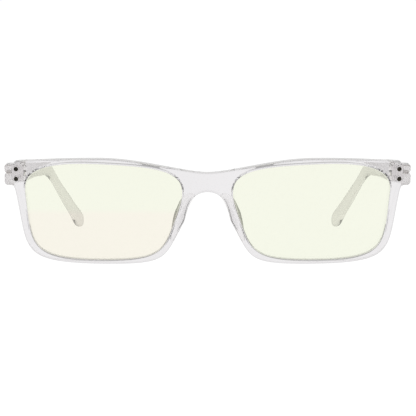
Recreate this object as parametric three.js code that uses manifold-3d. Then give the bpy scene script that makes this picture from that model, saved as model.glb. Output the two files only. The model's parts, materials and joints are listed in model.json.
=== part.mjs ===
// Clear-framed blue light glasses, standing open on a table.
// Millimetres, +Z up. The wearer looks along -Y, and the right-hand parts are on the +X side.
import * as THREE from 'three';
import { mergeVertices } from 'three/addons/utils/BufferGeometryUtils.js';
import { TessellateModifier } from 'three/addons/modifiers/TessellateModifier.js';
import Module from 'manifold-3d';

const wasm = await Module();
wasm.setup();

// ---- driving dimensions ---------------------------------------------------------------------

const DEG = Math.PI / 180;

// The front is drawn flat: x across, y up from the bottom of the rims, z out of its face.
const FRONT_THICKNESS = 4.4;
const FRONT_EDGE = 0.35;
const FRONT_LEAN = 6 * DEG;
const FACET = 6; // longest edge of a facet on the bowed parts
const OUTLINE_STEP = 3.2; // longest step along an outline

// The flat front is bowed round the face, and domed about the centre of each eye.
const FACE_RADIUS = 1200;
const DOME_RADIUS = 250;
const BRIDGE_BLEND = 4;
const EYE = new THREE.Vector2(35.3, 18);

const LENS_THICKNESS = 2;
const LENS_DEPTH = 2.1; // from the front's face to the middle of the lens
const LENS_PLAY = 0.15;
const LENS_BEVEL = 0.5;
const GROOVE_DEPTH = 0.5;
const GROOVE_HALF_WIDTH = 1;

const CLEARANCE = 0.15;
const RIVET_RADIUS = 0.75;
const RIVET_DOME = 0.1;
const FRONT_RIVET_X = 65.4;
const FRONT_RIVET_Y = [29.1, 32.5];

const PLATE_THICKNESS = 0.8;
const PLATE_CORNER = 0.8;
const FRONT_PLATE = { x: 64.9, y: 30.8, width: 4, height: 5.4 };
const TEMPLE_PLATE = { start: 0.9, length: 8.8, height: 5 };
const TEMPLE_RIVET_Y = [3.6, 7.6]; // behind the hinge pin

const PIN = new THREE.Vector3(63.3, 6.6, 31.4);
const KNUCKLE_RADIUS = 1.25;
const KNUCKLE_HEIGHT = 1.6;
const KNUCKLE_GAP = 0.12;
const EAR_THICKNESS = 1.2;
const EAR_LENGTH = 2.6;
const SCREW_RADIUS = 0.6;
const SCREW_HEAD_RADIUS = 1.1;
const SCREW_HEAD_HEIGHT = 0.6;
const SCREW_PLAY = 0.1;

const PAD_LENGTH = 18;
const PAD_DEPTH = 6;
const PAD_THICKNESS = 1.8;
const PAD_PEAK = 2; // the deepest place, above the middle of the pad's length
const PAD_TILT = 24 * DEG; // follows the nasal side of the rim
const PAD_SPLAY = 22 * DEG; // the pads open towards the wearer
const PAD_FOOT = new THREE.Vector3(8, 15.2, -5.4);

// The temple's centre line starts inside the end-piece joint and runs back to the tip.
const TEMPLE_LENGTH = 145;
const TEMPLE_START = new THREE.Vector3(67.3, 3.6, 31.25);
// slope before and after the ear bend, then where the bend starts and ends
const TEMPLE_PITCH = [2.2 * DEG, 35 * DEG, 88, 111];
// turn towards the head before and after its bend, then where that starts and ends
const TEMPLE_YAW = [0, 18 * DEG, 57, 125];
// distance along the temple and the size there
const TEMPLE_HEIGHTS = [[0, 6.9], [40, 7.9], [87, 6.6], [110, 4], [129, 4.6], [TEMPLE_LENGTH, 6.5]];
const TEMPLE_WIDTHS = [[0, 4.2], [87, 3.5], [110, 2.4], [129, 3], [TEMPLE_LENGTH, 3]];
const TEMPLE_TIP = 5; // length of the rounded end
const TEMPLE_CORNER = 1.1;
const TEMPLE_ROWS = 40;
const RING = 16;
const LINE_STEP = 0.5;

// Anchors of the outlines: x, y, heading in degrees, and the reach of the curve before and after.
const OPENING = [
  [10.5, 16.6, 110.5, 13.4, 15],
  [37.7, 34.6, 2, 27.6, 24.7],
  [62.2, 23.6, -96.3, 5.4, 17.8],
  [36.2, 1.3, 180, 25.7, 21.3],
];
const TOP_EDGE = [
  [0, 31.2, 0, 0, 7.9],
  [36.7, 36.25, 0, 14.5, 14.1],
  [64.9, 35.05, -3, 8, 0],
];
// Corners of the end-piece, with a shallow notch in its end: x, y, and the reach of the rounding.
const END_PIECE = [
  [65.95, 35, 0.5],
  [66.25, 34, 0.4],
  [69.4, 34, 1],
  [69.4, 31.8, 0.25],
  [68.75, 31.1, 0.5],
  [69.4, 30.4, 0.25],
  [69.4, 27, 1.1],
  [66.5, 26.95, 0.6],
  [65.8, 25.6, 0.6],
];
const LOWER_EDGE = [
  [65.4, 23.8, -101, 0, 21],
  [33.6, 0, 180, 31.5, 20.8],
  [8.1, 14.5, 119.4, 14.3, 1.9],
  [0, 24.8, 180, 7.2, 0],
];

// ---- materials ------------------------------------------------------------------------------

function clearPlastic() {
  return new THREE.MeshStandardMaterial({
    color: 0xe9e8ea, roughness: 0.12, metalness: 0, transparent: true, opacity: 0.55,
  });
}

function filterLens() {
  return new THREE.MeshStandardMaterial({
    color: 0xf3f4e2, roughness: 0.05, metalness: 0, transparent: true, opacity: 0.35,
  });
}

function darkMetal() {
  return new THREE.MeshStandardMaterial({ color: 0x2b2a27, roughness: 0.35, metalness: 0.9 });
}

function hingeMetal() {
  return new THREE.MeshStandardMaterial({ color: 0xb9b9b6, roughness: 0.3, metalness: 1 });
}

// ---- solids ---------------------------------------------------------------------------------

function toSolid(geometry) {
  const bare = geometry.clone();
  bare.deleteAttribute('normal');
  bare.deleteAttribute('uv');
  const merged = mergeVertices(bare, 1e-4);
  return new wasm.Manifold(new wasm.Mesh({
    numProp: 3,
    vertProperties: new Float32Array(merged.attributes.position.array),
    triVerts: new Uint32Array(merged.index.array),
  }));
}

function toGeometry(solid) {
  const { vertProperties, triVerts } = solid.getMesh();
  const geometry = new THREE.BufferGeometry();
  geometry.setAttribute('position', new THREE.BufferAttribute(vertProperties, 3));
  geometry.setIndex(new THREE.BufferAttribute(triVerts, 1));
  return geometry;
}

function cut(geometry, ...cutters) {
  return toGeometry(cutters.reduce((rest, cutter) => rest.subtract(toSolid(cutter)), toSolid(geometry)));
}

function join(...geometries) {
  return toGeometry(geometries.map(toSolid).reduce((whole, solid) => whole.add(solid)));
}

function mirrored(geometry) {
  const twin = mergeVertices(geometry).toNonIndexed().scale(-1, 1, 1);
  const { array } = twin.attributes.position;
  for (let i = 0; i < array.length; i += 9) {
    for (let k = 0; k < 3; k += 1) {
      [array[i + k], array[i + 3 + k]] = [array[i + 3 + k], array[i + k]];
    }
  }
  return twin;
}

function eachVertex(geometry, move) {
  const { position } = geometry.attributes;
  const point = new THREE.Vector3();
  for (let i = 0; i < position.count; i += 1) {
    point.fromBufferAttribute(position, i);
    move(point);
    position.setXYZ(i, point.x, point.y, point.z);
  }
  return geometry;
}

// ---- outlines -------------------------------------------------------------------------------

function follow(path, anchors) {
  for (let i = 1; i < anchors.length; i += 1) {
    const [x0, y0, heading0, , ahead] = anchors[i - 1];
    const [x1, y1, heading1, behind] = anchors[i];
    path.bezierCurveTo(
      x0 + ahead * Math.cos(heading0 * DEG), y0 + ahead * Math.sin(heading0 * DEG),
      x1 - behind * Math.cos(heading1 * DEG), y1 - behind * Math.sin(heading1 * DEG), x1, y1,
    );
  }
}

// straight runs by way of all corners but the last, where the path ends
function roundCorners(path, corners) {
  for (let i = 0; i < corners.length - 1; i += 1) {
    const [x, y, reach] = corners[i];
    const corner = new THREE.Vector2(x, y);
    const before = path.currentPoint.clone().sub(corner).setLength(reach);
    const after = new THREE.Vector2(corners[i + 1][0], corners[i + 1][1]).sub(corner).setLength(reach);
    path.lineTo(x + before.x, y + before.y);
    path.quadraticCurveTo(x, y, x + after.x, y + after.y);
  }
  path.lineTo(corners.at(-1)[0], corners.at(-1)[1]);
}

function pointsOf(path, step) {
  return path.curves.flatMap((curve) => {
    const count = curve.isLineCurve ? 1 : Math.max(3, Math.ceil(curve.getLength() / step));
    return curve.getPoints(count).slice(0, -1);
  });
}

function openingShape() {
  const path = new THREE.Path();
  path.moveTo(OPENING[0][0], OPENING[0][1]);
  follow(path, [...OPENING, OPENING[0]]);
  return new THREE.Shape(pointsOf(path, OUTLINE_STEP));
}

function frontShape() {
  const half = new THREE.Path();
  half.moveTo(TOP_EDGE[0][0], TOP_EDGE[0][1]);
  follow(half, TOP_EDGE);
  roundCorners(half, [...END_PIECE, LOWER_EDGE[0]]);
  follow(half, LOWER_EDGE);
  const right = pointsOf(half, OUTLINE_STEP);
  const bridge = new THREE.Vector2(0, LOWER_EDGE.at(-1)[1]);
  const left = right.slice(1).reverse().map(({ x, y }) => new THREE.Vector2(-x, y));
  return new THREE.Shape([...right, bridge, ...left]);
}

function roundedPlate(width, height, thickness) {
  const x = width / 2 - PLATE_CORNER;
  const y = height / 2 - PLATE_CORNER;
  const shape = new THREE.Shape();
  shape.absarc(x, y, PLATE_CORNER, 0, 90 * DEG);
  shape.absarc(-x, y, PLATE_CORNER, 90 * DEG, 180 * DEG);
  shape.absarc(-x, -y, PLATE_CORNER, 180 * DEG, 270 * DEG);
  shape.absarc(x, -y, PLATE_CORNER, 270 * DEG, 360 * DEG);
  return new THREE.ExtrudeGeometry(shape, { depth: thickness, bevelEnabled: false, curveSegments: 3 });
}

// ---- the front ------------------------------------------------------------------------------

function bowDepth(x, y) {
  const across = Math.hypot(x, BRIDGE_BLEND) - EYE.x;
  return x ** 2 / (2 * FACE_RADIUS) + (across ** 2 + (y - EYE.y) ** 2) / (2 * DOME_RADIUS);
}

function bow(geometry) {
  return eachVertex(geometry, (point) => {
    point.z -= bowDepth(point.x, point.y);
  });
}

function bowFinely(geometry) {
  const separate = geometry.index ? geometry.toNonIndexed() : geometry;
  return bow(new TessellateModifier(FACET, 14).modify(separate));
}

function openingCutter() {
  const groove = new THREE.ExtrudeGeometry(openingShape(), {
    depth: 0.2,
    bevelThickness: GROOVE_HALF_WIDTH,
    bevelSize: GROOVE_DEPTH + 0.05,
    bevelOffset: -0.05,
    bevelSegments: 1,
  }).translate(0, 0, -LENS_DEPTH - 0.1);
  const through = new THREE.ExtrudeGeometry(openingShape(), {
    depth: FRONT_THICKNESS + 2,
    bevelEnabled: false,
  }).translate(0, 0, -FRONT_THICKNESS - 1);
  return join(through, groove);
}

function rivetHole(y, back) {
  return new THREE.CylinderGeometry(RIVET_RADIUS + CLEARANCE, RIVET_RADIUS + CLEARANCE, back + 2, 12)
    .rotateX(90 * DEG)
    .translate(FRONT_RIVET_X, y, -back / 2);
}

function platePocket() {
  const { x, y, width, height } = FRONT_PLATE;
  const depth = PLATE_THICKNESS + CLEARANCE;
  return roundedPlate(width + 2 * CLEARANCE, height + 2 * CLEARANCE, depth + 1)
    .translate(x, y, -FRONT_THICKNESS - 1);
}

function frontFrame() {
  const blank = new THREE.ExtrudeGeometry(frontShape(), {
    depth: FRONT_THICKNESS - 2 * FRONT_EDGE,
    bevelThickness: FRONT_EDGE,
    bevelSize: FRONT_EDGE,
    bevelOffset: -FRONT_EDGE,
    bevelSegments: 2,
  }).translate(0, 0, FRONT_EDGE - FRONT_THICKNESS);
  const oneSide = [
    openingCutter(),
    platePocket(),
    ...FRONT_RIVET_Y.map((y) => rivetHole(y, FRONT_THICKNESS)),
  ];
  return bowFinely(cut(blank, ...oneSide, ...oneSide.map(mirrored)));
}

function lens() {
  const edge = 0.1;
  const blank = new THREE.ExtrudeGeometry(openingShape(), {
    depth: edge,
    bevelThickness: (LENS_THICKNESS - edge) / 2,
    bevelSize: LENS_BEVEL,
    bevelOffset: -LENS_PLAY,
    bevelSegments: 1,
  }).translate(0, 0, -LENS_DEPTH - edge / 2);
  return bowFinely(blank);
}

function turnedRivet(length) {
  const profile = [
    [0, -length], [RIVET_RADIUS, -length], [RIVET_RADIUS, 0],
    [RIVET_RADIUS * 0.6, RIVET_DOME * 0.8], [0, RIVET_DOME],
  ].map(([r, y]) => new THREE.Vector2(r, y));
  return new THREE.LatheGeometry(profile, 12);
}

function frontRivet(y) {
  return bow(turnedRivet(FRONT_THICKNESS - 0.1).rotateX(90 * DEG).translate(FRONT_RIVET_X, y, 0));
}

// everything that the front fills, with a small gap behind it
function frontSlab() {
  const depth = 12;
  return bow(new THREE.BoxGeometry(150, 44, depth, 50, 14, 1)
    .translate(0, 18, depth / 2 - FRONT_THICKNESS - 2 * CLEARANCE));
}

function nosePad() {
  const half = PAD_LENGTH / 2;
  const shape = new THREE.Shape();
  shape.moveTo(-half, -2);
  shape.lineTo(-half, 0);
  shape.bezierCurveTo(-half * 0.8, PAD_DEPTH * 0.35, -half * 0.2, PAD_DEPTH, PAD_PEAK, PAD_DEPTH);
  shape.bezierCurveTo(half * 0.6, PAD_DEPTH, half, PAD_DEPTH * 0.5, half, 0);
  shape.lineTo(half, -2);
  const edge = 0.4;
  const blank = new THREE.ExtrudeGeometry(shape, {
    depth: PAD_THICKNESS - 2 * edge,
    bevelThickness: edge,
    bevelSize: edge,
    bevelOffset: -edge,
    bevelSegments: 2,
    curveSegments: 10,
  }).translate(0, 0, edge - PAD_THICKNESS);
  const along = new THREE.Vector3(-Math.sin(PAD_TILT), Math.cos(PAD_TILT), 0);
  const aside = new THREE.Vector3(Math.cos(PAD_TILT), Math.sin(PAD_TILT), 0);
  const back = aside.multiplyScalar(Math.sin(PAD_SPLAY));
  back.z = -Math.cos(PAD_SPLAY);
  const bearing = along.clone().cross(back);
  const place = new THREE.Matrix4().makeBasis(along, back, bearing).setPosition(PAD_FOOT);
  return cut(blank.applyMatrix4(place), frontSlab());
}

// ---- hinges, about their pins ---------------------------------------------------------------

const frontPlace = new THREE.Matrix4().makeRotationX(90 * DEG + FRONT_LEAN);
const frontToPin = new THREE.Matrix4().makeTranslation(-PIN.x, -PIN.y, -PIN.z).multiply(frontPlace);

function knuckle(z) {
  return new THREE.CylinderGeometry(KNUCKLE_RADIUS, KNUCKLE_RADIUS, KNUCKLE_HEIGHT, 16)
    .rotateX(90 * DEG)
    .translate(0, 0, z);
}

function knuckleBore() {
  const radius = SCREW_RADIUS + SCREW_PLAY;
  return new THREE.CylinderGeometry(radius, radius, 5 * KNUCKLE_HEIGHT, 16).rotateX(90 * DEG);
}

// the front's own material round the hinge plate, which the hinge's ears stay out of
function frontWall() {
  const { x, y } = FRONT_PLATE;
  const depth = FRONT_THICKNESS - PLATE_THICKNESS / 2;
  return bow(new THREE.BoxGeometry(14, 14, depth, 6, 6, 1).translate(x, y, -depth / 2))
    .applyMatrix4(frontToPin);
}

function frontHingePlate() {
  const { x, y, width, height } = FRONT_PLATE;
  const flat = roundedPlate(width, height, PLATE_THICKNESS).translate(x, y, -FRONT_THICKNESS);
  const holes = FRONT_RIVET_Y.map((holeY) => rivetHole(holeY, FRONT_THICKNESS));
  const leaf = bow(cut(flat, ...holes)).applyMatrix4(frontToPin);
  const pitch = KNUCKLE_HEIGHT + KNUCKLE_GAP;
  const ears = [pitch, -pitch].flatMap((z) => [
    knuckle(z),
    new THREE.BoxGeometry(EAR_THICKNESS, EAR_LENGTH, KNUCKLE_HEIGHT).translate(0.65, -1, z),
  ]);
  const arms = cut(join(...ears), frontWall());
  return cut(join(leaf, arms), knuckleBore());
}

function templeHingePlate() {
  const { start, length, height } = TEMPLE_PLATE;
  const inner = TEMPLE_START.x - TEMPLE_WIDTHS[0][1] / 2 - PIN.x;
  const leaf = roundedPlate(length, height, PLATE_THICKNESS)
    .rotateZ(-TEMPLE_PITCH[0])
    .rotateX(90 * DEG)
    .rotateZ(90 * DEG)
    .translate(inner + 0.02, start + length / 2, 0);
  const reach = inner + 0.5;
  const web = new THREE.BoxGeometry(reach, 1.4, KNUCKLE_HEIGHT).translate(reach / 2, 0.55, 0);
  const holes = TEMPLE_RIVET_Y.map(templeRivetHole);
  return cut(join(leaf, web, knuckle(0)), knuckleBore(), ...holes);
}

function templeRivetHole(y) {
  const radius = RIVET_RADIUS + CLEARANCE;
  return new THREE.CylinderGeometry(radius, radius, 12, 12)
    .rotateZ(90 * DEG)
    .translate(TEMPLE_START.x - PIN.x, y, -y * Math.tan(TEMPLE_PITCH[0]));
}

function templeRivet(y) {
  const width = TEMPLE_WIDTHS[0][1];
  return turnedRivet(width - 0.1)
    .rotateZ(-90 * DEG)
    .translate(TEMPLE_START.x + width / 2 - PIN.x, y, -y * Math.tan(TEMPLE_PITCH[0]));
}

function hingeScrew() {
  const foot = -1.5 * KNUCKLE_HEIGHT - KNUCKLE_GAP;
  const seat = -foot + 0.1;
  const top = seat + SCREW_HEAD_HEIGHT;
  const profile = [
    [0, foot], [SCREW_RADIUS * 0.7, foot], [SCREW_RADIUS, foot + 0.3], [SCREW_RADIUS, seat],
    [SCREW_HEAD_RADIUS, seat], [SCREW_HEAD_RADIUS, top - 0.2], [SCREW_HEAD_RADIUS - 0.25, top], [0, top],
  ].map(([r, y]) => new THREE.Vector2(r, y));
  const turned = new THREE.LatheGeometry(profile, 16).rotateX(90 * DEG);
  const slot = new THREE.BoxGeometry(3, 0.35, 0.6).translate(0, 0, top);
  return cut(turned, slot);
}

// ---- temples --------------------------------------------------------------------------------

function ease([from, to, start, end], s) {
  return from + (to - from) * THREE.MathUtils.smoothstep(s, start, end);
}

function valueAt(pairs, s) {
  const i = Math.max(1, pairs.findIndex(([place]) => place >= s));
  const [start, from] = pairs[i - 1];
  const [end, to] = pairs[i];
  return ease([from, to, start, end], s);
}

function templeHeading(s) {
  const pitch = ease(TEMPLE_PITCH, s);
  const yaw = ease(TEMPLE_YAW, s);
  const level = Math.cos(pitch);
  return new THREE.Vector3(-Math.sin(yaw) * level, Math.cos(yaw) * level, -Math.sin(pitch));
}

const templeLine = [TEMPLE_START];
for (let s = 0; s < TEMPLE_LENGTH; s += LINE_STEP) {
  templeLine.push(templeLine.at(-1).clone().addScaledVector(templeHeading(s + LINE_STEP / 2), LINE_STEP));
}

function templeCentre(s) {
  const i = Math.min(Math.floor(s / LINE_STEP), templeLine.length - 2);
  return templeLine[i].clone().lerp(templeLine[i + 1], s / LINE_STEP - i);
}

// a ring's points lie four to a corner, on a rounded rectangle
function ringPoint(index, halfWidth, halfHeight, corner) {
  const quarter = Math.floor(index / 4);
  const angle = (quarter * 90 + (index % 4) * 30) * DEG;
  const signX = quarter === 0 || quarter === 3 ? 1 : -1;
  const signY = quarter < 2 ? 1 : -1;
  return new THREE.Vector2(
    signX * (halfWidth - corner) + corner * Math.cos(angle),
    signY * (halfHeight - corner) + corner * Math.sin(angle),
  );
}

function temple() {
  const blank = new THREE.CylinderGeometry(1, 1, 1, RING, TEMPLE_ROWS);
  const bar = eachVertex(blank, (point) => {
    const onAxis = Math.hypot(point.x, point.z) < 0.5;
    const index = Math.round(Math.atan2(-point.z, point.x) / (2 * Math.PI) * RING + RING) % RING;
    const s = TEMPLE_LENGTH * (1 - (0.5 + point.y) ** 1.5);
    const past = Math.max(0, (s - TEMPLE_LENGTH) / TEMPLE_TIP + 1);
    const taper = Math.max(0.15, Math.sqrt(1 - Math.min(1, past) ** 2));
    const halfWidth = valueAt(TEMPLE_WIDTHS, s) / 2 * (0.4 + 0.6 * taper);
    const halfHeight = valueAt(TEMPLE_HEIGHTS, s) / 2 * taper;
    const corner = Math.min(TEMPLE_CORNER, halfHeight, halfWidth) * 0.98;
    const across = onAxis ? new THREE.Vector2() : ringPoint(index, halfWidth, halfHeight, corner);
    const heading = templeHeading(s);
    const side = new THREE.Vector3(heading.y, -heading.x, 0).normalize();
    const up = side.clone().cross(heading);
    point.copy(templeCentre(s)).addScaledVector(side, across.x).addScaledVector(up, across.y);
  });
  const { start, length, height } = TEMPLE_PLATE;
  const inner = TEMPLE_START.x - TEMPLE_WIDTHS[0][1] / 2 - PIN.x;
  const pocket = new THREE.BoxGeometry(4, length + 4, height + 2 * CLEARANCE)
    .rotateX(-TEMPLE_PITCH[0])
    .translate(inner + PLATE_THICKNESS + CLEARANCE - 2, start + length / 2 - 2 + CLEARANCE, 0);
  return cut(
    bar.translate(-PIN.x, -PIN.y, -PIN.z),
    frontSlab().applyMatrix4(frontToPin),
    pocket,
    ...TEMPLE_RIVET_Y.map(templeRivetHole),
  );
}

// ---- assembly -------------------------------------------------------------------------------

function addMesh(group, name, geometry, material) {
  const mesh = new THREE.Mesh(geometry, material);
  mesh.name = name;
  group.add(mesh);
}

function addBoth(groups, name, geometry, material) {
  addMesh(groups.right, `${name}_right`, geometry, material());
  addMesh(groups.left, `${name}_left`, mirrored(geometry), material());
}

const glasses = new THREE.Group();
const front = new THREE.Group();
front.rotation.x = 90 * DEG + FRONT_LEAN;
glasses.add(front);

addMesh(front, 'front_frame', frontFrame(), clearPlastic());
const onFront = { right: front, left: front };
addBoth(onFront, 'lens', lens(), filterLens);
addBoth(onFront, 'nose_pad', nosePad(), clearPlastic);
addBoth(onFront, 'front_rivet_lower', frontRivet(FRONT_RIVET_Y[0]), darkMetal);
addBoth(onFront, 'front_rivet_upper', frontRivet(FRONT_RIVET_Y[1]), darkMetal);

const hinges = { right: new THREE.Group(), left: new THREE.Group() };
hinges.right.position.copy(PIN);
hinges.left.position.set(-PIN.x, PIN.y, PIN.z);
glasses.add(hinges.right, hinges.left);
addBoth(hinges, 'front_hinge_plate', frontHingePlate(), hingeMetal);
addBoth(hinges, 'hinge_screw', hingeScrew(), hingeMetal);
addBoth(hinges, 'temple_hinge_plate', templeHingePlate(), hingeMetal);
addBoth(hinges, 'temple', temple(), clearPlastic);
addBoth(hinges, 'temple_rivet_front', templeRivet(TEMPLE_RIVET_Y[0]), hingeMetal);
addBoth(hinges, 'temple_rivet_rear', templeRivet(TEMPLE_RIVET_Y[1]), hingeMetal);

// the origin is under the middle of the glasses, on the surface that they stand on
glasses.updateMatrixWorld(true);
const box = new THREE.Box3().setFromObject(glasses, true);
glasses.position.set(0, -(box.min.y + box.max.y) / 2, -box.min.z);

export default glasses;
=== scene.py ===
"""Clear-framed blue light glasses, standing open on a pale table in a white studio.

Shapes are drawn in millimetres in the glasses' own drawing: +Z is up, the wearer looks along -Y, and the
right-hand parts are on the +X side. PLACE carries the drawing into the frame, by way of the hinge pin.
"""
import json
import math

import bmesh
import bpy
import numpy as np
from mathutils import Matrix, Vector
from mathutils.geometry import delaunay_2d_cdt

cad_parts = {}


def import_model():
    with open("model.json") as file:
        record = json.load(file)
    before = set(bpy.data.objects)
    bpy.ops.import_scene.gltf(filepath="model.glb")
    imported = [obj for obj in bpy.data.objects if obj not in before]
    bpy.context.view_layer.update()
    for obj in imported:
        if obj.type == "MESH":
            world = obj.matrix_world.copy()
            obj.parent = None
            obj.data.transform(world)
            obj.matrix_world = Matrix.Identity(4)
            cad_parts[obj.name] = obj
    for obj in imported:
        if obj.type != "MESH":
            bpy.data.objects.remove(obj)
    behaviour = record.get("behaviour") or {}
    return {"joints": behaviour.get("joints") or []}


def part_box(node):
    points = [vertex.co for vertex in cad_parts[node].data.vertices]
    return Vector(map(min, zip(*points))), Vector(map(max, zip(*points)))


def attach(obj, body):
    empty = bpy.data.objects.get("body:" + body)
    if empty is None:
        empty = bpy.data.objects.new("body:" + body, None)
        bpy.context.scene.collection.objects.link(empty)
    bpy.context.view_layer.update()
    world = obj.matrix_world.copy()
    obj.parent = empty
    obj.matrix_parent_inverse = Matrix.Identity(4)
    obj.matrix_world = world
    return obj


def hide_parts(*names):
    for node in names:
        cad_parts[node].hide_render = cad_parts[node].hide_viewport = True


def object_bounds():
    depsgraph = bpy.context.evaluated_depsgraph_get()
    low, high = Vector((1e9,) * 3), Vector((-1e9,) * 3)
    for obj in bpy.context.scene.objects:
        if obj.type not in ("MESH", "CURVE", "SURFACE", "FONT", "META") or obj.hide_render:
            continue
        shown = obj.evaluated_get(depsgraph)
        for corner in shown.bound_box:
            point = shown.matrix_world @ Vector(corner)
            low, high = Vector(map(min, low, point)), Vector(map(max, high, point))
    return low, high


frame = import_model()
CAD_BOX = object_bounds()

MM = 0.001
SIDES = {"right": 1, "left": -1}

# ---- sizes, in millimetres ---------------------------------------------------------------------

THICKNESS = 4.4  # of the front
LEAN = math.radians(6)
FACE_RADIUS = 1200  # the front's bow from side to side
DOME_RADIUS = 250  # the bow of each lens about its middle, EYE
BRIDGE_BLEND = 4  # rounds off the ridge where the two bows meet
EYE = (35.3, 18)
FACE_EDGE = 0.6
BACK_EDGE = 0.35
OPENING_EDGE = 0.35

LENS_DEPTH = 2.1  # from the front's face to the middle of the lens
LENS_THICKNESS = 2
LENS_EDGE = 0.1
LENS_BEVEL = 0.5
LENS_PLAY = 0.15
LENS_CHAMFER = {"width": 0.06, "depth": 0.05}  # round each face
GROOVE_DEPTH = 0.5
GROOVE_HALF_WIDTH = 1
MOUTH_CHAMFER = 0.05  # of the rivet holes

RIVET_RADIUS = 0.75
RIVET_DOME = 0.1
RIVET_FIT = 0.03
RIVET_GAP = 0.1  # between a rivet's end and the far face
FRONT_RIVETS = {"lower": (65.4, 29.1), "upper": (65.4, 32.5)}
PLATE_THICKNESS = 0.8
PLATE_CORNER = 0.8
PLATE_FIT = 0.08
PLATE_EDGE = 0.1
PLATE_SINK = 0.02  # of the temple's leaf, below the temple's inner face
FRONT_PLATE = {"centre": (64.9, 30.8), "width": 4, "height": 5.4}
TEMPLE_PLATE = {"start": 0.9, "length": 8.8, "height": 5}
POCKET_RUN = 4  # how much further forward the temple's pocket runs, out of its end
TEMPLE_RIVETS = {"front": 3.6, "rear": 7.6}  # behind the hinge pin

PIN = np.array([63.3, 6.6, 31.4])
KNUCKLE_RADIUS = 1.25
KNUCKLE_HEIGHT = 1.6
KNUCKLE_GAP = 0.12
KNUCKLE_EDGE = 0.08
# Where a knuckle's arm meets its leaf, from the pin.
FRONT_ARM = [(-0.15, -2.1), (1.5, -2.1)]
TEMPLE_ARM = {"into_leaf": 0.4, "y": (-0.1, 1.9)}
SCREW_RADIUS = 0.6
SCREW_FIT = 0.03
SCREW_HEAD = {"radius": 1.1, "height": 0.6, "gap": 0.08, "slot": 0.35, "slot_depth": 0.3}

PAD_LENGTH = 18
PAD_DEPTH = 6
PAD_THICKNESS = 1.8
PAD_PEAK = 2  # how far above its middle it is deepest
PAD_TILT = math.radians(24)
PAD_SPLAY = math.radians(22)
PAD_FOOT = np.array([8, 15.2, -5.4])
PAD_FIT = 0.04
PAD_FLARE = {"width": 0.15, "fade": 0.3}  # where the foot meets the front

TEMPLE_LENGTH = 145
TEMPLE_START = np.array([67.3, 3.6, 31.25])
# Slope and inward turn: before and after the bend, then how far along the bend starts and ends.
TEMPLE_PITCH = (math.radians(2.2), math.radians(35), 88, 111)
TEMPLE_YAW = (0, math.radians(18), 57, 125)
# Distance along the temple, and the size there.
TEMPLE_HEIGHTS = [(0, 6.9), (40, 7.9), (87, 6.6), (110, 4), (129, 4.6), (TEMPLE_LENGTH, 6.5)]
TEMPLE_WIDTHS = [(0, 4.2), (87, 3.5), (110, 2.4), (129, 3), (TEMPLE_LENGTH, 3)]
TEMPLE_TIP = 6  # length of the rounded end
TEMPLE_CORNER = 1.1
TEMPLE_CROWN = 0.12
TEMPLE_FIT = 0.3  # gap to the front
TEMPLE_FILLET = 0.3  # at the front end
TEMPLE_BLEND = 8  # length over which the front end fits the front's back

# Anchors of the outlines: x, y, heading in degrees, and the reach of the curve before and after.
OPENING = [
    (10.5, 16.6, 110.5, 13.4, 15),
    (37.7, 34.6, 2, 27.6, 24.7),
    (62.2, 23.6, -96.3, 5.4, 17.8),
    (36.2, 1.3, 180, 25.7, 21.3),
]
TOP_EDGE = [
    (0, 31.2, 0, 0, 7.9),
    (36.7, 36.25, 0, 14.5, 14.1),
    (64.9, 35.05, -3, 8, 0),
]
# Corners of the end-piece, each with the reach of its rounding.
END_PIECE = [
    (65.95, 35, 0.5),
    (66.25, 34, 0.4),
    (69.4, 34, 1),
    (69.4, 31.8, 0.25),
    (68.75, 31.1, 0.5),
    (69.4, 30.4, 0.25),
    (69.4, 27, 1.1),
    (66.5, 26.95, 0.6),
    (65.8, 25.6, 0.6),
]
LOWER_EDGE = [
    (65.4, 23.8, -101, 0, 21),
    (33.6, 0, 180, 31.5, 20.8),
    (8.1, 14.5, 119.4, 14.3, 1.9),
    (0, 24.8, 180, 7.2, 0),
]

PLACE = Vector(frame["joints"][0]["pos_m"]) - Vector(PIN) * MM


# ---- outlines ----------------------------------------------------------------------------------

OUTLINE_STEP = 0.45


def bezier(a, b, c, d, count):
    """count points from a towards d, without d."""
    t = np.arange(count)[:, None] / count
    a, b, c, d = (np.array(p, float) for p in (a, b, c, d))
    return a * (1 - t) ** 3 + 3 * b * t * (1 - t) ** 2 + 3 * c * t ** 2 * (1 - t) + d * t ** 3


def follow(anchors):
    """Points along the curve through the anchors, evenly spaced, without the last anchor."""
    runs = []
    for (x0, y0, heading0, _, ahead), (x1, y1, heading1, behind, _) in zip(anchors, anchors[1:]):
        start, end = np.array([x0, y0]), np.array([x1, y1])
        leave, arrive = math.radians(heading0), math.radians(heading1)
        b = start + ahead * np.array([math.cos(leave), math.sin(leave)])
        c = end - behind * np.array([math.cos(arrive), math.sin(arrive)])
        runs.append(bezier(start, b, c, end, 200))
    fine = np.vstack([*runs, [anchors[-1][:2]]])
    along = np.concatenate([[0], np.cumsum(np.linalg.norm(np.diff(fine, axis=0), axis=1))])
    even = np.linspace(0, along[-1], round(along[-1] / OUTLINE_STEP) + 1)[:-1]
    return np.column_stack([np.interp(even, along, fine[:, k]) for k in (0, 1)])


def rounded_corners(corners, start, end, count=6):
    """The line from start to end by way of corners, each rounded by a short curve."""
    line = [np.array(start, float), *(np.array(c[:2], float) for c in corners), np.array(end, float)]
    points = []
    for i, (_, _, reach) in enumerate(corners, 1):
        before = (line[i - 1] - line[i]) / np.linalg.norm(line[i - 1] - line[i])
        after = (line[i + 1] - line[i]) / np.linalg.norm(line[i + 1] - line[i])
        a, d = line[i] + before * reach, line[i] + after * reach
        points.extend(bezier(a, a + (line[i] - a) * 0.6, d + (line[i] - d) * 0.6, d, count))
        points.append(d)
    return np.array(points)


def mirrored_loop(loop):
    return (loop * [-1, 1])[::-1]


def opening_loop():
    return follow([*OPENING, OPENING[0]])[::-1]


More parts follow.
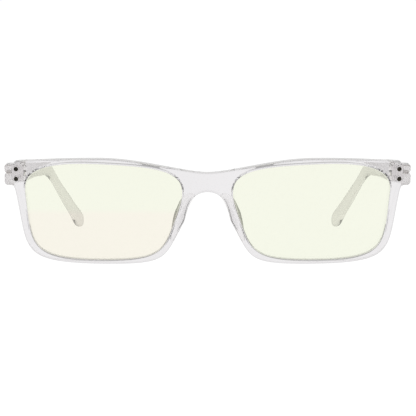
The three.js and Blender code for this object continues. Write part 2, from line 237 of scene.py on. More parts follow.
def front_loop():
    top = follow(TOP_EDGE)
    end = rounded_corners(END_PIECE, TOP_EDGE[-1][:2], LOWER_EDGE[0][:2])
    lower = follow(LOWER_EDGE)
    half = np.vstack([top, [TOP_EDGE[-1][:2]], end, lower])
    middle = np.array([[0, LOWER_EDGE[-1][1]]])
    return np.vstack([half, middle, half[1:][::-1] * [-1, 1]])[::-1]


def circle(centre, radius, count=32):
    turn = np.arange(count) / count * 2 * math.pi
    return np.array(centre) + radius * np.column_stack([np.cos(turn), np.sin(turn)])


def rounded_rectangle(centre, width, height, corner, count=5):
    points = []
    for quarter in range(4):
        x = (width / 2 - corner) * (1 if quarter in (0, 3) else -1)
        y = (height / 2 - corner) * (1 if quarter < 2 else -1)
        turn = np.radians(np.linspace(0, 90, count + 1) + 90 * quarter)
        points.append(np.column_stack([x + corner * np.cos(turn), y + corner * np.sin(turn)]))
    return np.array(centre) + np.vstack(points)


def knuckle_outline(base):
    """A round eye about the pin, with an arm whose straight sides run to the two points of base."""
    radius = KNUCKLE_RADIUS
    first, last = (np.array(p, float) for p in base)
    start = math.atan2(*last[::-1]) + math.acos(radius / np.linalg.norm(last))
    end = math.atan2(*first[::-1]) - math.acos(radius / np.linalg.norm(first))
    while end < start:
        end += 2 * math.pi
    turn = np.linspace(start, end, 28)
    return np.vstack([radius * np.column_stack([np.cos(turn), np.sin(turn)]), [first], [last]])


def grown(loop, distance):
    """The anticlockwise loop moved outwards by distance, mitred at its corners."""
    ahead = np.roll(loop, -1, axis=0) - loop
    ahead /= np.linalg.norm(ahead, axis=1)[:, None]
    out = np.column_stack([ahead[:, 1], -ahead[:, 0]])
    mean = out + np.roll(out, 1, axis=0)
    mean /= np.linalg.norm(mean, axis=1)[:, None]
    mitre = np.maximum((mean * out).sum(1), 0.7)
    return loop + mean * (distance / mitre)[:, None]


def inside(points, loop):
    """Which points lie inside the loop."""
    x, y = points[:, 0][:, None], points[:, 1][:, None]
    x0, y0 = loop[:, 0], loop[:, 1]
    x1, y1 = np.roll(x0, -1), np.roll(y0, -1)
    spans = (y0 > y) != (y1 > y)
    with np.errstate(divide="ignore", invalid="ignore"):
        left = x < x0 + (y - y0) * (x1 - x0) / (y1 - y0)
    return (spans & left).sum(1) % 2 == 1


# ---- shells ------------------------------------------------------------------------------------

class Shell:
    """A mesh under construction: vertices in millimetres, and faces by index."""

    def __init__(self):
        self.points, self.faces = [], []

    def ring(self, points):
        start = len(self.points)
        self.points.extend(np.asarray(points, float))
        return list(range(start, len(self.points)))

    def flat_ring(self, loop, z):
        return self.ring(np.column_stack([loop, np.full(len(loop), z)]))

    def band(self, first, second):
        n = len(first)
        self.faces += [(first[i], first[(i + 1) % n], second[(i + 1) % n], second[i]) for i in range(n)]

    def wall(self, loop, profile, material_inside=True):
        """Sweeps a profile of (depth into the material, z) round the loop; returns its end rings."""
        sign = -1 if material_inside else 1
        rings = [self.flat_ring(grown(loop, sign * depth), z) for depth, z in profile]
        for first, second in zip(rings, rings[1:]):
            self.band(first, second)
        return rings[0], rings[-1]

    def fill(self, outer, holes, spacing):
        """Covers the region between the rings with triangles, with inner vertices spacing apart."""
        rings = [outer, *holes]
        known = [i for ring in rings for i in ring]
        flat = np.array([self.points[i][:2] for i in known])
        loops = [np.array([self.points[i][:2] for i in ring]) for ring in rings]
        z = self.points[outer[0]][2]

        low, high = loops[0].min(0), loops[0].max(0)
        rows = np.arange(low[1], high[1], spacing * 0.87)
        grid = np.array([(x + (k % 2) * spacing / 2, y) for k, y in enumerate(rows)
                         for x in np.arange(low[0], high[0], spacing)])
        keep = inside(grid, loops[0])
        for loop in loops[1:]:
            keep &= ~inside(grid, loop)
        grid = grid[keep]
        near = np.array([((flat - p) ** 2).sum(1).min() for p in grid]).reshape(-1)
        grid = grid[near > (spacing * 0.55) ** 2]
        extra = self.ring(np.column_stack([grid, np.full(len(grid), z)])) if len(grid) else []

        edges, start = [], 0
        for ring in rings:
            edges += [(start + i, start + (i + 1) % len(ring)) for i in range(len(ring))]
            start += len(ring)
        corners = [Vector(p) for p in np.vstack([flat, grid])]
        found, _, triangles, origins, _, _ = delaunay_2d_cdt(corners, edges, [], 0, 1e-7)
        index = [(known + extra)[o[0]] for o in origins]
        found = np.array(found)
        centres = np.array([found[list(t)].mean(0) for t in triangles])
        keep = inside(centres, loops[0])
        for loop in loops[1:]:
            keep &= ~inside(centres, loop)
        self.faces += [tuple(index[i] for i in t) for t, k in zip(triangles, keep) if k]

    def cap(self, ring):
        self.faces.append(tuple(ring))


def rounded_edges(radius, top, bottom, steps, lower_radius=None):
    """A profile from the top face, round its edge, down the wall and round to the bottom face."""
    turn = np.radians(np.linspace(0, 90, steps + 1))
    last = lower_radius or radius
    upper = [(radius * (1 - math.sin(a)), top - radius * (1 - math.cos(a))) for a in turn]
    lower = [(last * (1 - math.sin(a)), bottom + last * (1 - math.cos(a))) for a in reversed(turn)]
    return upper + lower


def plate(loop, holes, top, bottom, edge):
    """A flat plate with rounded edges, and round holes through it."""
    shell = Shell()
    upper, lower = shell.wall(loop, rounded_edges(edge, top, bottom, steps=2))
    ends = [shell.wall(hole, [(0, top), (0, bottom)], material_inside=False) for hole in holes]
    shell.fill(upper, [end[0] for end in ends], spacing=1.5)
    shell.fill(lower, [end[1] for end in ends], spacing=1.5)
    return shell


def turned(profile, count=36):
    """A solid of revolution about z: profile is (radius, z), and starts and ends near the axis."""
    shell = Shell()
    rings = [shell.flat_ring(circle((0, 0), max(r, 0.01), count), z) for r, z in profile]
    for first, second in zip(rings, rings[1:]):
        shell.band(first, second)
    shell.cap(rings[0])
    shell.cap(rings[-1])
    return shell


def lofted(rows):
    """A closed skin over a list of rings."""
    shell = Shell()
    rings = [shell.ring(row) for row in rows]
    for first, second in zip(rings, rings[1:]):
        shell.band(first, second)
    shell.cap(rings[0])
    shell.cap(rings[-1])
    return shell


# ---- places ------------------------------------------------------------------------------------

TO_FRONT = np.array(Matrix.Rotation(math.radians(90) + LEAN, 3, "X"))


def bow_depth(x, y):
    across = np.hypot(x, BRIDGE_BLEND) - EYE[0]
    return x ** 2 / (2 * FACE_RADIUS) + (across ** 2 + (y - EYE[1]) ** 2) / (2 * DOME_RADIUS)


def bowed(points):
    """Points of the flat front, bowed and stood up."""
    points = np.array(points, float)
    points[:, 2] -= bow_depth(points[:, 0], points[:, 1])
    return points @ TO_FRONT.T


def behind_front(points, gap):
    """How far points lie behind the front's back face, less the gap."""
    flat = np.asarray(points) @ TO_FRONT
    return -(flat[..., 2] + THICKNESS + gap + bow_depth(flat[..., 0], flat[..., 1]))


def ease(start_value, end_value, start, end, s):
    t = np.clip((s - start) / (end - start), 0, 1)
    return start_value + (end_value - start_value) * t * t * (3 - 2 * t)


def value_at(pairs, s):
    for (start, a), (end, b) in zip(pairs, pairs[1:]):
        if s <= end:
            return ease(a, b, start, end, s)
    return pairs[-1][1]


def temple_heading(s):
    pitch = ease(*TEMPLE_PITCH, s)
    yaw = ease(*TEMPLE_YAW, s)
    return np.array([-math.sin(yaw) * math.cos(pitch), math.cos(yaw) * math.cos(pitch), -math.sin(pitch)])


LINE_STEP = 0.25
LINE_AT = np.arange(0, TEMPLE_LENGTH + LINE_STEP, LINE_STEP)
TEMPLE_LINE = np.vstack([TEMPLE_START, TEMPLE_START + np.cumsum(
    [temple_heading(s + LINE_STEP / 2) * LINE_STEP for s in LINE_AT[:-1]], axis=0)])


def temple_centre(s):
    return np.array([np.interp(s, LINE_AT, TEMPLE_LINE[:, k]) for k in range(3)])


# ---- pieces ------------------------------------------------------------------------------------

# Edges steeper than this, in degrees, stay sharp; the front's and temples' rounded edges need more.
SHARP, FRONT_SHARP, TEMPLE_SHARP = 25, 38, 30


def mesh_object(name, shell_points, faces, side=1):
    """An object of the drawing's points, mirrored for side -1, with its faces pointing out."""
    mesh = bpy.data.meshes.new(name)
    points = np.array(shell_points) * [side, 1, 1] * MM + np.array(PLACE)
    mesh.from_pydata(points.tolist(), [], faces)
    work = bmesh.new()
    work.from_mesh(mesh)
    bmesh.ops.remove_doubles(work, verts=work.verts, dist=1e-7)
    bmesh.ops.recalc_face_normals(work, faces=work.faces)
    work.to_mesh(mesh)
    work.free()
    obj = bpy.data.objects.new(name, mesh)
    bpy.context.scene.collection.objects.link(obj)
    return obj


def combined(obj, others, operation):
    """obj joined with, or cut by, the other objects, which are used up."""
    for other in others:
        modifier = obj.modifiers.new("cut", "BOOLEAN")
        modifier.operation, modifier.solver, modifier.object = operation, "EXACT", other
    bpy.context.view_layer.update()
    graph = bpy.context.evaluated_depsgraph_get()
    mesh = bpy.data.meshes.new_from_object(obj.evaluated_get(graph))
    obj.modifiers.clear()
    obj.data = mesh
    for other in others:
        bpy.data.objects.remove(other)
    return obj


def finish_piece(obj, material, body, node, sharp=SHARP):
    """Shades the piece, gives it its material, and puts it in its CAD node's place."""
    obj.data.materials.clear()
    obj.data.materials.append(material)
    obj.data.shade_smooth()
    obj.data.set_sharp_from_angle(angle=math.radians(sharp))
    weigh = obj.modifiers.new("weighted normals", "WEIGHTED_NORMAL")
    weigh.keep_sharp = True
    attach(obj, body)
    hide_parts(node)
    return obj


def front_frame(material):
    shell = Shell()
    outer = shell.wall(front_loop(), rounded_edges(FACE_EDGE, 0, -THICKNESS, 6, BACK_EDGE))

    edge = rounded_edges(OPENING_EDGE, 0, -THICKNESS, 5)
    groove = [
        (0, GROOVE_HALF_WIDTH - LENS_DEPTH), (GROOVE_DEPTH, LENS_EDGE - LENS_DEPTH),
        (GROOVE_DEPTH, -LENS_EDGE - LENS_DEPTH), (0, -GROOVE_HALF_WIDTH - LENS_DEPTH),
    ]
    rim = edge[:len(edge) // 2] + groove + edge[len(edge) // 2:]
    floor_z = PLATE_THICKNESS + PLATE_FIT - THICKNESS
    fronts, backs = [], []
    for side in SIDES.values():
        loop = opening_loop() if side > 0 else mirrored_loop(opening_loop())
        first, last = shell.wall(loop, rim, material_inside=False)
        fronts.append(first)
        backs.append(last)

        x, y = FRONT_PLATE["centre"]
        pocket = rounded_rectangle((side * x, y), FRONT_PLATE["width"] + 2 * PLATE_FIT,
                                   FRONT_PLATE["height"] + 2 * PLATE_FIT, PLATE_CORNER + PLATE_FIT)
        mouth, bottom = shell.wall(pocket, [(0, -THICKNESS), (0, floor_z)], material_inside=False)
        backs.append(mouth)
        holes = []
        for x, y in FRONT_RIVETS.values():
            hole = circle((side * x, y), RIVET_RADIUS + RIVET_FIT)
            bore = [(MOUTH_CHAMFER, 0), (0, -MOUTH_CHAMFER), (0, floor_z)]
            first, last = shell.wall(hole, bore, material_inside=False)
            fronts.append(first)
            holes.append(last)
        shell.fill(bottom, holes, spacing=1)
    shell.fill(outer[0], fronts, spacing=1.2)
    shell.fill(outer[1], backs, spacing=1.2)
    obj = mesh_object("clear_front", bowed(shell.points), shell.faces)
    return finish_piece(obj, material, "front", "front_frame", FRONT_SHARP)


def lens(side_name, material):
    side = SIDES[side_name]
    half = LENS_THICKNESS / 2
    reach = LENS_BEVEL - LENS_PLAY
    face, wall = LENS_PLAY + LENS_CHAMFER["width"], half - LENS_CHAMFER["depth"]
    profile = [
        (face, half), (LENS_PLAY, wall), (-reach, LENS_EDGE / 2),
        (-reach, -LENS_EDGE / 2), (LENS_PLAY, -wall), (face, -half),
    ]
    shell = Shell()
    upper, lower = shell.wall(opening_loop(), [(d, z - LENS_DEPTH) for d, z in profile])
    shell.fill(upper, [], spacing=2)
    shell.fill(lower, [], spacing=2)
    obj = mesh_object(f"tinted_lens_{side_name}", bowed(shell.points), shell.faces, side)
    return finish_piece(obj, material, "front", f"lens_{side_name}")


def pad_axes():
    along = np.array([-math.sin(PAD_TILT), math.cos(PAD_TILT), 0])
    aside = np.array([math.cos(PAD_TILT), math.sin(PAD_TILT), 0])
    back = aside * math.sin(PAD_SPLAY) + np.array([0, 0, -math.cos(PAD_SPLAY)])
    return along, back, np.cross(along, back)


def pad_reach():
    """The pad's outline as tables: depth from the foot, lower end and upper end."""
    half, depth = PAD_LENGTH / 2, PAD_DEPTH
    low = bezier((-half, 0), (-half * 0.8, depth * 0.35), (-half * 0.2, depth), (PAD_PEAK, depth), 60)
    high = bezier((half, 0), (half, depth * 0.5), (half * 0.6, depth), (PAD_PEAK, depth), 60)
    return low, high


def nose_pad(side_name, material):
    """A pad whose foot follows the bowed back of the front."""
    along, back, bearing = pad_axes()
    low, high = pad_reach()
    half = PAD_THICKNESS / 2
    straight = np.linspace(0, PAD_DEPTH - half, 12)
    turn = np.radians(np.linspace(0, 90, 9))[1:]
    depths = [*straight, *(PAD_DEPTH - half + half * np.sin(turn) * 0.995)]
    rows = []
    for depth in depths:
        past = max(0, depth - (PAD_DEPTH - half)) / half
        flare = PAD_FLARE["width"] * math.exp(-depth / PAD_FLARE["fade"])
        thick = half * math.sqrt(1 - past ** 2) + flare
        start, end = np.interp(depth, low[:, 1], low[:, 0]), np.interp(depth, high[:, 1], high[:, 0])
        length = (end - start) / 2 + flare
        ring = rounded_rectangle(((start + end) / 2, -half), 2 * length, 2 * thick,
                                 min(thick, length) * 0.98, 6)
        base = PAD_FOOT + np.outer(ring[:, 0], along) + np.outer(ring[:, 1], bearing)
        foot = np.zeros(len(ring))
        for _ in range(6):
            spot = base + foot[:, None] * back
            foot += (spot[:, 2] + THICKNESS + PAD_FIT) / math.cos(PAD_SPLAY)
        reach = depth + foot * (1 - depth / PAD_DEPTH)
        rows.append(base + reach[:, None] * back)
    shell = lofted(rows)
    obj = mesh_object(f"soft_pad_{side_name}", bowed(shell.points), shell.faces, SIDES[side_name])
    return finish_piece(obj, material, "front", f"nose_pad_{side_name}")


def rivet_profile(length):
    """A rivet's (radius, z): a chamfered shank and, above z = 0, a low dome with a dimple."""
    r, dome = RIVET_RADIUS, RIVET_DOME
    return [
        (0, -length), (r - 0.08, -length), (r, 0.08 - length), (r, -0.06), (r - 0.04, -0.01),
        (r - 0.1, 0.02), (r * 0.62, dome * 0.75), (r * 0.4, dome), (r * 0.3, dome * 0.7),
        (0, dome * 0.55),
    ]


def front_rivet(side_name, level, material):
    shell = turned(rivet_profile(THICKNESS - RIVET_GAP))
    x, y = FRONT_RIVETS[level]
    points = np.array(shell.points) + [x, y, 0]
    name = f"front_rivet_{level}_{side_name}"
    obj = mesh_object(f"pin_{level}_{side_name}", bowed(points), shell.faces, SIDES[side_name])
    return finish_piece(obj, material, "front", name)


def temple_rivet(side_name, end, material):
    width = TEMPLE_WIDTHS[0][1]
    shell = turned(rivet_profile(width - RIVET_GAP))
    y = TEMPLE_RIVETS[end]
    turn = np.array(Matrix.Rotation(math.radians(90), 3, "Y"))
    place = [TEMPLE_START[0] + width / 2, PIN[1] + y, PIN[2] - y * math.tan(TEMPLE_PITCH[0])]
    points = np.array(shell.points) @ turn.T + place
    obj = mesh_object(f"temple_pin_{end}_{side_name}", points, shell.faces, SIDES[side_name])
    body, node = f"{side_name}_temple", f"temple_rivet_{end}_{side_name}"
    return finish_piece(obj, material, body, node)


def knuckle(base, z):
    """An eye of the hinge with its arm, about the pin, its middle at height z."""
    half = KNUCKLE_HEIGHT / 2
    bore = circle((0, 0), SCREW_RADIUS + SCREW_FIT)
    shell = plate(knuckle_outline(base), [bore], z + half, z - half, KNUCKLE_EDGE)
    return np.array(shell.points) + PIN, shell.faces


def front_hinge_plate(side_name, material):
    side = SIDES[side_name]
    holes = [circle(rivet, RIVET_RADIUS + RIVET_FIT) for rivet in FRONT_RIVETS.values()]
    outline = rounded_rectangle(FRONT_PLATE["centre"], FRONT_PLATE["width"], FRONT_PLATE["height"],
                                PLATE_CORNER)
    shell = plate(outline, holes, PLATE_THICKNESS - THICKNESS, -THICKNESS, PLATE_EDGE)
    obj = mesh_object(f"hinge_leaf_front_{side_name}", bowed(shell.points), shell.faces, side)
    pitch = KNUCKLE_HEIGHT + KNUCKLE_GAP
    arms = [mesh_object("arm", *knuckle(FRONT_ARM, z), side) for z in (pitch, -pitch)]
    obj = combined(obj, arms, "UNION")
    return finish_piece(obj, material, "front", f"front_hinge_plate_{side_name}")


def temple_hinge_plate(side_name, material):
    side = SIDES[side_name]
    start, length, height = TEMPLE_PLATE["start"], TEMPLE_PLATE["length"], TEMPLE_PLATE["height"]
    inner = TEMPLE_START[0] - TEMPLE_WIDTHS[0][1] / 2 - PIN[0]
    outline = rounded_rectangle((start + length / 2, 0), length, height, PLATE_CORNER)
    holes = [circle((y, 0), RIVET_RADIUS + RIVET_FIT) for y in TEMPLE_RIVETS.values()]
    shell = plate(outline, holes, PLATE_THICKNESS, 0, PLATE_EDGE)
    u, v, w = np.array(shell.points).T
    slope = math.tan(TEMPLE_PITCH[0])
    points = np.column_stack([w + inner + PLATE_SINK, u, v - u * slope]) + PIN
    obj = mesh_object(f"hinge_leaf_temple_{side_name}", points, shell.faces, side)
    base = [(inner + TEMPLE_ARM["into_leaf"], y) for y in TEMPLE_ARM["y"]]
    arm = mesh_object("arm", *knuckle(base, 0), side)
    obj = combined(obj, [arm], "UNION")
    body, node = f"{side_name}_temple", f"temple_hinge_plate_{side_name}"
    return finish_piece(obj, material, body, node)


def hinge_screw(side_name, material):
    foot = -1.5 * KNUCKLE_HEIGHT - KNUCKLE_GAP
    seat = SCREW_HEAD["gap"] - foot
    top = seat + SCREW_HEAD["height"]
    r, head = SCREW_RADIUS, SCREW_HEAD["radius"]
    shell = turned([
        (0, foot), (r * 0.75, foot), (r, foot + 0.25), (r, seat), (head - 0.08, seat), (head, seat + 0.08),
        (head, top - 0.22), (head - 0.1, top - 0.08), (head - 0.3, top), (0, top),
    ])
    side = SIDES[side_name]
    obj = mesh_object(f"screw_{side_name}", np.array(shell.points) + PIN, shell.faces, side)
    outline = rounded_rectangle((0, 0), 3, SCREW_HEAD["slot"], 0.05, 1)
    slot = plate(outline, [], top + 1, top - SCREW_HEAD["slot_depth"], 0.02)
    cutter = mesh_object("slot", np.array(slot.points) + PIN, slot.faces, side)
    obj = combined(obj, [cutter], "DIFFERENCE")
    return finish_piece(obj, material, "front", f"hinge_screw_{side_name}")


def temple_section(half_width, half_height, corner):
    """A rounded rectangle whose long sides are slightly crowned."""
    count = 6
    ring = rounded_rectangle((0, 0), 2 * half_width, 2 * half_height, corner, count)
    full = []
    for i, (a, b) in enumerate(zip(ring, np.roll(ring, -1, axis=0))):
        full.append(a)
        if i % (count + 1) == count:
            full += [a + (b - a) * share for share in (0.25, 0.5, 0.75)]
    full = np.array(full)
    crown = min(TEMPLE_CROWN, half_width * 0.1)
    full[:, 0] *= 1 - crown / half_width * (full[:, 1] / half_height) ** 2
    return full


def temple_rows():
    """Distances along the temple, close together where its ends are rounded."""
    turn = np.radians(np.linspace(0, 88, 14))
    start = [0, 0.04, 0.12, 0.22, 0.34, 0.5, 1]
    middle = np.arange(2, TEMPLE_LENGTH - TEMPLE_TIP, 1.2)
    return [*start, *middle, *(TEMPLE_LENGTH - TEMPLE_TIP + TEMPLE_TIP * np.sin(turn))]


def temple_ring(s, inset=0.0, shift=None):
    """The temple's outline at s, shrunk by inset; shift moves each of its points along the temple."""
    past = max(0, (s - TEMPLE_LENGTH) / TEMPLE_TIP + 1)
    taper = math.sqrt(1 - past ** 2)
    half_width = value_at(TEMPLE_WIDTHS, s) / 2 * (0.35 + 0.65 * taper) - inset
    half_height = value_at(TEMPLE_HEIGHTS, s) / 2 * max(taper, 0.04) - inset
    corner = min(TEMPLE_CORNER, half_height * 0.98, half_width * 0.98)
    across = temple_section(half_width, half_height, corner)
    if shift is None:
        shift = np.zeros(len(across))
    points = []
    for (x, z), extra in zip(across, shift):
        heading = temple_heading(s + extra)
        side = np.array([heading[1], -heading[0], 0])
        side /= np.linalg.norm(side)
        points.append(temple_centre(s + extra) + side * x + np.cross(side, heading) * z)
    return np.array(points)


def temple_blank():
    """The temple without its pocket and holes; its front end follows the back of the front."""
    shift = np.zeros(len(temple_ring(0)))
    for _ in range(8):
        shift -= behind_front(temple_ring(0, 0, shift), TEMPLE_FIT)
    rows = []
    for s in temple_rows():
        share = min(1, s / TEMPLE_FILLET)
        inset = TEMPLE_FILLET * (1 - math.sin(math.acos(1 - share)))
        rows.append(temple_ring(s, inset, shift * max(0, 1 - s / TEMPLE_BLEND)))
    return lofted(rows)


def temple(side_name, material):
    side = SIDES[side_name]
    shell = temple_blank()
    obj = mesh_object(f"clear_temple_{side_name}", shell.points, shell.faces, side)

    start, length, height = TEMPLE_PLATE["start"], TEMPLE_PLATE["length"], TEMPLE_PLATE["height"]
    inner = TEMPLE_START[0] - TEMPLE_WIDTHS[0][1] / 2
    slope = math.tan(TEMPLE_PITCH[0])
    middle = start + length / 2 - POCKET_RUN / 2
    outline = rounded_rectangle((middle, 0), length + POCKET_RUN + 2 * PLATE_FIT,
                                height + 2 * PLATE_FIT, PLATE_CORNER)
    pocket = plate(outline, [], PLATE_THICKNESS + PLATE_SINK + PLATE_FIT, -2, 0.02)
    u, v, w = np.array(pocket.points).T
    points = np.column_stack([w + inner, u + PIN[1], v - u * slope + PIN[2]])
    cutters = [mesh_object("pocket", points, pocket.faces, side)]
    turn = np.array(Matrix.Rotation(math.radians(90), 3, "Y"))
    radius = RIVET_RADIUS + RIVET_FIT
    for y in TEMPLE_RIVETS.values():
        hole = turned([(0, -6), (radius, -6), (radius, 6), (0, 6)], 32)
        place = [TEMPLE_START[0], PIN[1] + y, PIN[2] - y * slope]
        points = np.array(hole.points) @ turn.T + place
        cutters.append(mesh_object("hole", points, hole.faces, side))
    obj = combined(obj, cutters, "DIFFERENCE")
    body, node = f"{side_name}_temple", f"temple_{side_name}"
    return finish_piece(obj, material, body, node, TEMPLE_SHARP)


# ---- materials ---------------------------------------------------------------------------------

FRONT_IOR = 1.4
SOFT_IOR = 1.08  # of the temples and pads
# The pads' painted shade, a grey band on the side towards the lens, starts along a line that leans like the
# rim: its lean, and the distance from the middle of the glasses, measured square to it, where the pad is
# clear and where the painted shade is full.
SHADE_BAND_TILT = math.radians(16)
SHADE_BAND_CLEAR, SHADE_BAND_FULL = 14.4, 15.1


class Nodes:
    """A new material's node tree, with short calls to add and join nodes."""

    def __init__(self, name):
        self.material = bpy.data.materials.new(name)
        self.material.use_nodes = True
        self.tree = self.material.node_tree
        self.shader = self.tree.nodes["Principled BSDF"]
        self.place = self.add("ShaderNodeTexCoord").outputs["Object"]

    def add(self, kind, **inputs):
        node = self.tree.nodes.new(kind)
        for name, value in inputs.items():
            self.feed(node, name.replace("_", " "), value)
        return node

    def feed(self, node, name, value):
        if isinstance(value, bpy.types.NodeSocket):
            self.tree.links.new(value, node.inputs[name])
        else:
            node.inputs[name].default_value = value

    def set(self, **inputs):
        for name, value in inputs.items():
            self.feed(self.shader, name.replace("_", " "), value)

    def noise(self, scale, detail=2.0, stretch=(1, 1, 1)):
        """A noise with about scale spots to the metre, times the stretch along each axis."""
        mapping = self.add("ShaderNodeMapping", Vector=self.place, Scale=stretch)
        noise = self.add("ShaderNodeTexNoise", Vector=mapping.outputs["Vector"], Scale=scale, Detail=detail)
        return noise.outputs["Fac"]

    def between(self, value, low, high):
        """The value, mapped from the middle of a noise to the range low to high."""
        node = self.add("ShaderNodeMapRange", Value=value, From_Min=0.3, From_Max=0.7,
                        To_Min=low, To_Max=high)
        return node.outputs["Result"]

    def mix(self, factor, first, second):
        """A colour between the first and the second, each an (r, g, b) or another node's output."""
        node = self.add("ShaderNodeMix")
        node.data_type = "RGBA"
        self.feed(node, 0, factor)
        for index, colour in ((6, first), (7, second)):
            self.feed(node, index, (*colour, 1) if isinstance(colour, tuple) else colour)
        return node.outputs[2]

    def edge_shade_mask(self, power):
        """0 where the surface faces the eye, rising to 1 at its outline; it masks the painted edge shade.
        """
        facing = self.add("ShaderNodeLayerWeight", Blend=0.5).outputs["Facing"]
        node = self.add("ShaderNodeMath")
        node.operation = "POWER"
        self.feed(node, 0, facing)
        self.feed(node, 1, power)
        return node.outputs["Value"]

    def bump(self, height, strength, distance):
        node = self.add("ShaderNodeBump", Height=height, Strength=strength, Distance=distance)
        return node.outputs["Normal"]


def clear_plastic(name, tint, edge, edge_shade_power, ior):
    """Polished plastic that is slightly clouded, with painted shade that darkens it where it is seen
    edge-on.
    """
    n = Nodes(name)
    body = n.mix(n.between(n.noise(45), 0, 1), tint, tuple(c * 1.03 for c in tint))
    n.set(
        # The base colour blends to the edge colour towards the outlines: painted shade along the edges.
        Base_Color=n.mix(n.edge_shade_mask(edge_shade_power), body, edge), IOR=ior, Transmission_Weight=1.0,
        Roughness=n.between(n.noise(260, 3), 0.0, 0.03), Normal=n.bump(n.noise(70, 1), 0.05, 0.0002),
    )
    return n.material


def front_plastic():
    # edge is the colour of the painted shade where the front is seen edge-on.
    tint, edge = (0.78, 0.767, 0.777), (0.2, 0.19, 0.18)
    return clear_plastic("clear front plastic", tint, edge, 1.6, FRONT_IOR)


def temple_plastic():
    # edge is the colour of the painted shade where the temple is seen edge-on.
    tint, edge = (0.84, 0.83, 0.82), (0.42, 0.41, 0.4)
    return clear_plastic("clear temple plastic", tint, edge, 2.5, SOFT_IOR)


def pad_plastic(side_name):
    """Clear next to the nose, with a painted grey shade on the side towards the lens, and painted shade
    where it is seen edge-on.
    """
    n = Nodes(f"clear pad plastic {side_name}")
    across = n.add("ShaderNodeVectorMath", Vector=n.place)
    across.operation = "DOT_PRODUCT"
    n.feed(across, 1, (SIDES[side_name] * math.cos(SHADE_BAND_TILT), 0, math.sin(SHADE_BAND_TILT)))
    share = n.add("ShaderNodeMapRange", Value=across.outputs["Value"], From_Min=SHADE_BAND_CLEAR * MM,
                  From_Max=SHADE_BAND_FULL * MM).outputs["Result"]
    # body runs from clear to a painted grey shade towards the lens; edge is the painted shade where the pad
    # is seen edge-on.
    body = n.mix(share, (0.97, 0.965, 0.96), (0.36, 0.36, 0.34))
    edge = n.mix(share, (0.93, 0.93, 0.92), (0.3, 0.3, 0.28))
    n.set(
        Base_Color=n.mix(n.edge_shade_mask(2), body, edge), IOR=SOFT_IOR, Transmission_Weight=1.0,
        Roughness=n.between(n.noise(260, 3), 0.0, 0.04), Normal=n.bump(n.noise(70, 1), 0.05, 0.0002),
    )
    return n.material


def filter_lens(warm_half):
    """Pale yellow-green, and with warm_half pale amber below the middle of the lens."""
    n = Nodes("tinted coated lens")
    green, warm = (0.852, 0.868, 0.75), (0.872, 0.842, 0.75)
    tint = n.mix(n.between(n.noise(25, 1), 0, 1), green, tuple(c * 1.005 for c in green))
    if warm_half:
        height = n.add("ShaderNodeSeparateXYZ", Vector=n.place).outputs["Z"]
        low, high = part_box("lens_left")
        middle = (low.z + high.z) / 2
        share = n.add("ShaderNodeMapRange", Value=height, From_Min=middle + MM, From_Max=middle - MM)
        tint = n.mix(share.outputs["Result"], tint, warm)
    n.set(
        Base_Color=tint, IOR=1.5, Transmission_Weight=1.0, Specular_IOR_Level=0.3,
        Roughness=n.between(n.noise(300, 2), 0.0, 0.01),
        Normal=n.bump(n.noise(30, 0), 0.02, 0.0001),
    )
    return n.material


def dark_metal():
    n = Nodes("dark polished metal")
    colour = n.mix(n.between(n.noise(900, 3), 0, 1), (0.018, 0.017, 0.014), (0.05, 0.046, 0.036))
    n.set(
        Base_Color=colour, Metallic=1.0, Roughness=n.between(n.noise(1500, 4), 0.25, 0.45),
        Normal=n.bump(n.noise(2500, 3), 0.15, 0.00002),
    )
    return n.material


def hinge_metal():
    n = Nodes("satin nickel silver")
    grain = n.noise(1200, 4, (1, 1, 12))
    colour = n.mix(n.between(n.noise(350, 2), 0, 1), (0.9, 0.89, 0.87), (0.98, 0.97, 0.95))
    n.set(
        Base_Color=colour, Metallic=1.0, Roughness=n.between(grain, 0.12, 0.22),
        Normal=n.bump(grain, 0.2, 0.00002),
    )
    return n.material


# ---- studio ------------------------------------------------------------------------------------

# In metres from the drawing's origin; the lens and sensor in millimetres; shift as a share of the width.
CAMERA = {"back": 0.6, "height": 0.07, "down": math.radians(4.81), "focal": 152.7, "sensor": 36,
          "shift": 0.00096}
# The studio is WHITE ahead and behind. It fades to CEILING while a direction's Z crosses CEILING_FADE, and
# to the share ASIDE of that while its squared X crosses ASIDE_FADE.
WHITE = 1.03
CEILING, CEILING_FADE = 0.5, (0.35, 0.7)
ASIDE, ASIDE_FADE = 0.2, (0.15, 0.5)
TABLE = {"half": 6, "gap": 0.0001, "glow": 1.02}  # metres; the gap is below the glasses
SOFTBOX = {"place": (0, -0.25, 0.9), "size": (1.6, 1.2), "power": 3}  # metres and watts
BOUNCES = 32


def camera():
    data = bpy.data.cameras.new("camera")
    data.lens, data.sensor_width = CAMERA["focal"], CAMERA["sensor"]
    data.clip_start, data.clip_end = 0.01, 50
    data.shift_x = CAMERA["shift"]
    obj = bpy.data.objects.new("camera", data)
    obj.location = (0, PLACE.y - CAMERA["back"], PLACE.z + CAMERA["height"])
    obj.rotation_euler = (math.radians(90) - CAMERA["down"], 0, 0)
    bpy.context.scene.collection.objects.link(obj)
    bpy.context.scene.camera = obj


def floor():
    """A wide pale table, lit from within so that the glasses cast hardly a shadow."""
    half = TABLE["half"]
    mesh = bpy.data.meshes.new("floor")
    corners = [(-half, -half, 0), (half, -half, 0), (half, half, 0), (-half, half, 0)]
    mesh.from_pydata(corners, [], [(0, 1, 2, 3)])
    obj = bpy.data.objects.new("floor", mesh)
    obj.location.z = CAD_BOX[0].z - TABLE["gap"]
    bpy.context.scene.collection.objects.link(obj)
    n = Nodes("light table")
    n.set(Base_Color=(0.08, 0.08, 0.08, 1), Roughness=1.0, Specular_IOR_Level=0.0,
          Emission_Color=(1, 1, 1, 1), Emission_Strength=TABLE["glow"])
    mesh.materials.append(n.material)


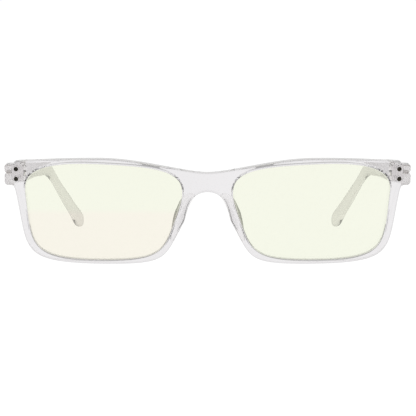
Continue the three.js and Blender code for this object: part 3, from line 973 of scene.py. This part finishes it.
def world():
    """White ahead and behind the glasses, darker overhead and to the sides."""
    scene_world = bpy.data.worlds.new("studio")
    bpy.context.scene.world = scene_world
    scene_world.use_nodes = True
    tree = scene_world.node_tree
    new, link = tree.nodes.new, tree.links.new
    background = tree.nodes["Background"]
    direction = new("ShaderNodeTexCoord").outputs["Generated"]
    parts = new("ShaderNodeSeparateXYZ")
    link(direction, parts.inputs[0])

    def ramp(value, start, end, low, high):
        node = new("ShaderNodeMapRange")
        node.interpolation_type = "SMOOTHSTEP"
        link(value, node.inputs["Value"])
        for name, number in zip(("From Min", "From Max", "To Min", "To Max"), (start, end, low, high)):
            node.inputs[name].default_value = number
        return node.outputs["Result"]

    def times(a, b):
        node = new("ShaderNodeMath")
        node.operation = "MULTIPLY"
        link(a, node.inputs[0])
        link(b, node.inputs[1])
        return node.outputs[0]

    overhead = ramp(parts.outputs["Z"], *CEILING_FADE, WHITE, CEILING)
    across = times(parts.outputs["X"], parts.outputs["X"])
    shade = times(overhead, ramp(across, *ASIDE_FADE, 1.0, ASIDE))
    background.inputs["Color"].default_value = (1, 1, 1, 1)
    seen = new("ShaderNodeLightPath").outputs["Is Camera Ray"]
    pick = new("ShaderNodeMix")
    link(seen, pick.inputs[0])
    link(shade, pick.inputs[2])
    pick.inputs[3].default_value = WHITE
    link(pick.outputs[0], background.inputs["Strength"])


def softbox():
    """A large dim light overhead, turned towards the glasses."""
    data = bpy.data.lights.new("overhead softbox", "AREA")
    data.shape, data.energy = "RECTANGLE", SOFTBOX["power"]
    data.size, data.size_y = SOFTBOX["size"]
    obj = bpy.data.objects.new("overhead softbox", data)
    obj.location = SOFTBOX["place"]
    obj.rotation_euler = (-Vector(SOFTBOX["place"])).to_track_quat("-Z", "Y").to_euler()
    bpy.context.scene.collection.objects.link(obj)


def build():
    rivet, nickel = dark_metal(), hinge_metal()
    temple_clear = temple_plastic()
    front_frame(front_plastic())
    for side_name in SIDES:
        lens(side_name, filter_lens(side_name == "left"))
        nose_pad(side_name, pad_plastic(side_name))
        for level in FRONT_RIVETS:
            front_rivet(side_name, level, rivet)
        front_hinge_plate(side_name, nickel)
        hinge_screw(side_name, nickel)
        temple_hinge_plate(side_name, nickel)
        temple(side_name, temple_clear)
        for end in TEMPLE_RIVETS:
            temple_rivet(side_name, end, nickel)


def studio():
    camera()
    floor()
    world()
    softbox()
    scene = bpy.context.scene
    for kind in ("max_bounces", "transmission_bounces", "glossy_bounces"):
        setattr(scene.cycles, kind, BOUNCES)
    scene.view_settings.view_transform = "Standard"


studio()
build()
